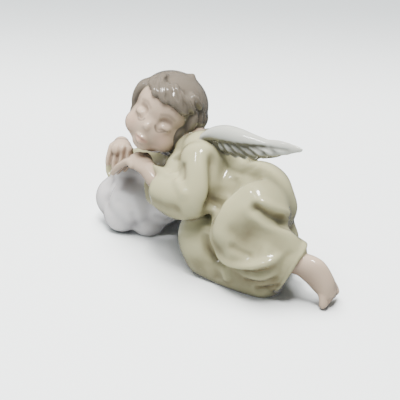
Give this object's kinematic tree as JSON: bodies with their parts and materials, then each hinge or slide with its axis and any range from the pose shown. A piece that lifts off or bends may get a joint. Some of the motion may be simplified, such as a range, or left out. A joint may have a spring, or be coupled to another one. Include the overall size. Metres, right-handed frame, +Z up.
{
  "type": "sleeping angel statue",
  "caption": "Small glazed porcelain figurine of a winged child in a long gown, asleep on its hands on a puffy cloud.",
  "frame": {"origin": "centre of the bounding box at its bottom, on the flat underside", "axes": "+X along the figure from the cloud and head to the bare foot, +Y to the figure's far (right) side, +Z up"},
  "size_m": [0.1192, 0.0544, 0.0718],
  "materials": {
    "glazed_porcelain": "high gloss glaze over matt pastel underglaze colours"
  },
  "bodies": {
    "root": {"sleeping_angel": "glazed_porcelain"}
  },
  "joints": []
}
